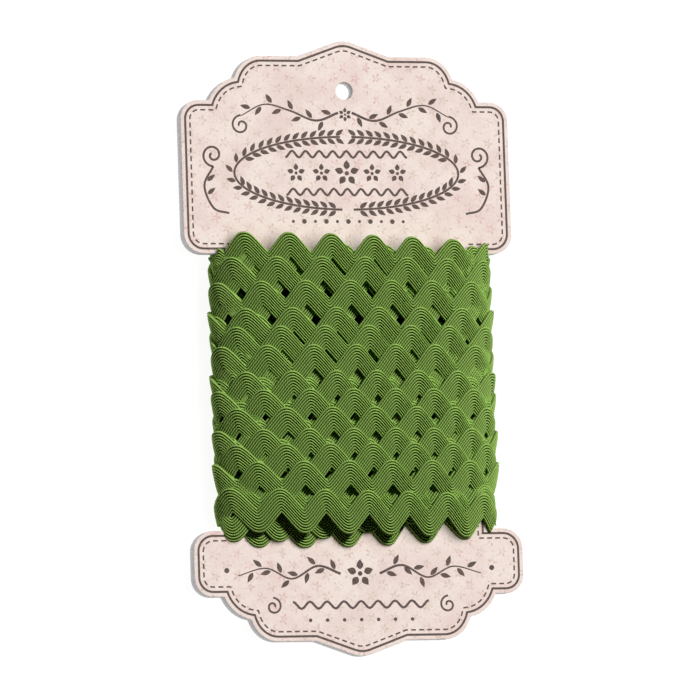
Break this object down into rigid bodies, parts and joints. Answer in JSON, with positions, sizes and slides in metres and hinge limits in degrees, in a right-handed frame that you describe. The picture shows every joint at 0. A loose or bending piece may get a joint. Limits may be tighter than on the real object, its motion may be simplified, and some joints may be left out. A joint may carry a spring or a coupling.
{
  "type": "ric rac wound on a card",
  "caption": "Wavy ric rac trim wound in overlapping rows round the waist of a flat card with a bracket outline at both ends and a hang hole.",
  "frame": {"origin": "middle of the object's box, at the surface it lies on", "axes": "+X to the card's right, +Y towards the end with the hang hole, +Z out of the printed face, up when it lies on its back"},
  "size_m": [0.0774, 0.1396, 0.0162],
  "materials": {
    "card_paper": "matt printed paper on grey board",
    "ric_rac_cotton": "matt ribbed braid"
  },
  "bodies": {
    "root": {"card": "card_paper", "ric_rac_winding": "ric_rac_cotton"}
  },
  "joints": []
}
